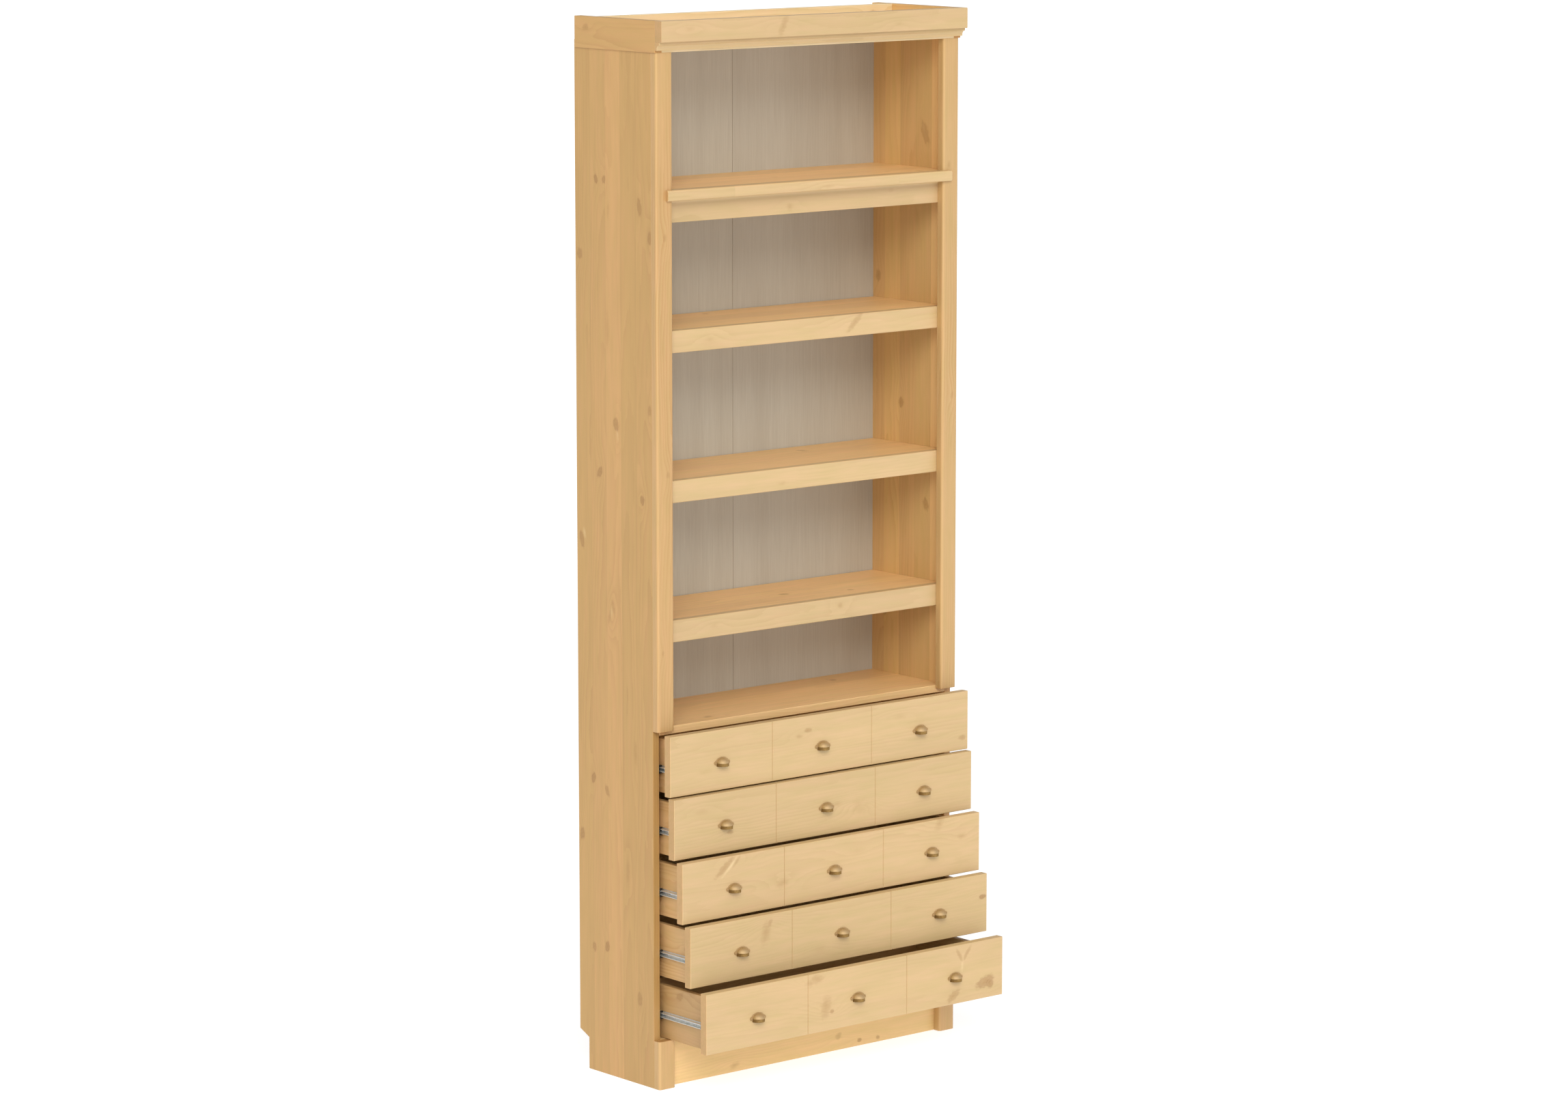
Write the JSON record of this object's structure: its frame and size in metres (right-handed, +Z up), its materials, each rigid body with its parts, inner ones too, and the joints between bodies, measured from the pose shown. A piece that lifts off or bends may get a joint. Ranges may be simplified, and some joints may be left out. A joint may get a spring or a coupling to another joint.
{
  "type": "bookcase with bottom drawers",
  "caption": "Tall narrow pine bookcase with a moulded cornice, open shelf bays and a stack of full-width drawers with cup pulls that slide out on ball bearing runners.",
  "frame": {"origin": "middle of the plinth board's bottom face, on the floor; the front plane of the side panels is 8 mm in front of it", "axes": "+Z up, +X to the right seen from the front, the front faces -Y and the drawers open along -Y"},
  "size_m": [0.806, 0.429, 2.162],
  "materials": {
    "pine_upright": "oiled pine, satin, upright grain",
    "pine_board": "oiled pine, satin, grain along the width",
    "pine_front": "oiled pine, satin, grain along the width",
    "drawer_wood": "pine, matt",
    "drawer_bottom_board": "thin board, matt",
    "back_taupe": "thin board, taupe wood grain, matt",
    "dowel_beech": "plain",
    "runner_zinc": "bright zinc",
    "screw_steel": "bright zinc",
    "stop_plastic": "black, matt",
    "antique_brass": "antiqued, brushed"
  },
  "bodies": {
    "carcass": {"top_panel": "pine_board", "mid_shelf": "pine_board", "deck_panel": "pine_board", "bottom_panel": "pine_board", "side_panel_left": "pine_upright", "side_panel_right": "pine_upright", "plinth_board": "pine_board", "stile_left": "pine_upright", "stile_right": "pine_upright", "base_post_left": "pine_upright", "base_post_right": "pine_upright", "back_board_left": "back_taupe", "back_board_right": "back_taupe", "back_batten": "pine_board", "mid_rail": "pine_board", "mid_moulding": "pine_board", "shelf_lower": "pine_board", "shelf_middle": "pine_board", "shelf_upper": "pine_board", "shelf_pins": "screw_steel", "cornice_fascia": "pine_board", "cornice_bed_moulding": "pine_board", "cornice_side_left": "pine_board", "cornice_side_right": "pine_board", "cornice_front_rail": "pine_board", "cornice_back_rail": "pine_board", "carcass_dowels": "dowel_beech", "cabinet_runners": "runner_zinc", "runner_end_stops": "stop_plastic", "runner_screws": "screw_steel"},
    "drawer_1": {"drawer_1_front": "pine_front", "drawer_1_box": "drawer_wood", "drawer_1_bottom": "drawer_bottom_board", "drawer_1_pulls": "antique_brass", "drawer_1_runners": "runner_zinc"},
    "ball_cages_1": {"drawer_1_ball_cages": "runner_zinc"},
    "drawer_2": {"drawer_2_front": "pine_front", "drawer_2_box": "drawer_wood", "drawer_2_bottom": "drawer_bottom_board", "drawer_2_pulls": "antique_brass", "drawer_2_runners": "runner_zinc"},
    "ball_cages_2": {"drawer_2_ball_cages": "runner_zinc"},
    "drawer_3": {"drawer_3_front": "pine_front", "drawer_3_box": "drawer_wood", "drawer_3_bottom": "drawer_bottom_board", "drawer_3_pulls": "antique_brass", "drawer_3_runners": "runner_zinc"},
    "ball_cages_3": {"drawer_3_ball_cages": "runner_zinc"},
    "drawer_4": {"drawer_4_front": "pine_front", "drawer_4_box": "drawer_wood", "drawer_4_bottom": "drawer_bottom_board", "drawer_4_pulls": "antique_brass", "drawer_4_runners": "runner_zinc"},
    "ball_cages_4": {"drawer_4_ball_cages": "runner_zinc"},
    "drawer_5": {"drawer_5_front": "pine_front", "drawer_5_box": "drawer_wood", "drawer_5_bottom": "drawer_bottom_board", "drawer_5_pulls": "antique_brass", "drawer_5_runners": "runner_zinc"},
    "ball_cages_5": {"drawer_5_ball_cages": "runner_zinc"}
  },
  "joints": [
    {"name": "drawer_1_slide", "type": "slide", "parent": "carcass", "child": "drawer_1", "axis": [0, -1, 0], "range_m": [-0.037, 0.113]},
    {"name": "ball_cages_1_slide", "type": "slide", "parent": "carcass", "child": "ball_cages_1", "axis": [0, -1, 0], "range_m": [-0.0185, 0.0565]},
    {"name": "drawer_2_slide", "type": "slide", "parent": "carcass", "child": "drawer_2", "axis": [0, -1, 0], "range_m": [-0.049, 0.101]},
    {"name": "ball_cages_2_slide", "type": "slide", "parent": "carcass", "child": "ball_cages_2", "axis": [0, -1, 0], "range_m": [-0.0245, 0.0505]},
    {"name": "drawer_3_slide", "type": "slide", "parent": "carcass", "child": "drawer_3", "axis": [0, -1, 0], "range_m": [-0.075, 0.075]},
    {"name": "ball_cages_3_slide", "type": "slide", "parent": "carcass", "child": "ball_cages_3", "axis": [0, -1, 0], "range_m": [-0.0375, 0.0375]},
    {"name": "drawer_4_slide", "type": "slide", "parent": "carcass", "child": "drawer_4", "axis": [0, -1, 0], "range_m": [-0.1, 0.05]},
    {"name": "ball_cages_4_slide", "type": "slide", "parent": "carcass", "child": "ball_cages_4", "axis": [0, -1, 0], "range_m": [-0.05, 0.025]},
    {"name": "drawer_5_slide", "type": "slide", "parent": "carcass", "child": "drawer_5", "axis": [0, -1, 0], "range_m": [-0.15, 0]},
    {"name": "ball_cages_5_slide", "type": "slide", "parent": "carcass", "child": "ball_cages_5", "axis": [0, -1, 0], "range_m": [-0.075, 0]}
  ],
  "couplings": [
    {"joint": "ball_cages_1_slide", "follows": "drawer_1_slide", "ratio": 0.5},
    {"joint": "ball_cages_2_slide", "follows": "drawer_2_slide", "ratio": 0.5},
    {"joint": "ball_cages_3_slide", "follows": "drawer_3_slide", "ratio": 0.5},
    {"joint": "ball_cages_4_slide", "follows": "drawer_4_slide", "ratio": 0.5},
    {"joint": "ball_cages_5_slide", "follows": "drawer_5_slide", "ratio": 0.5}
  ]
}
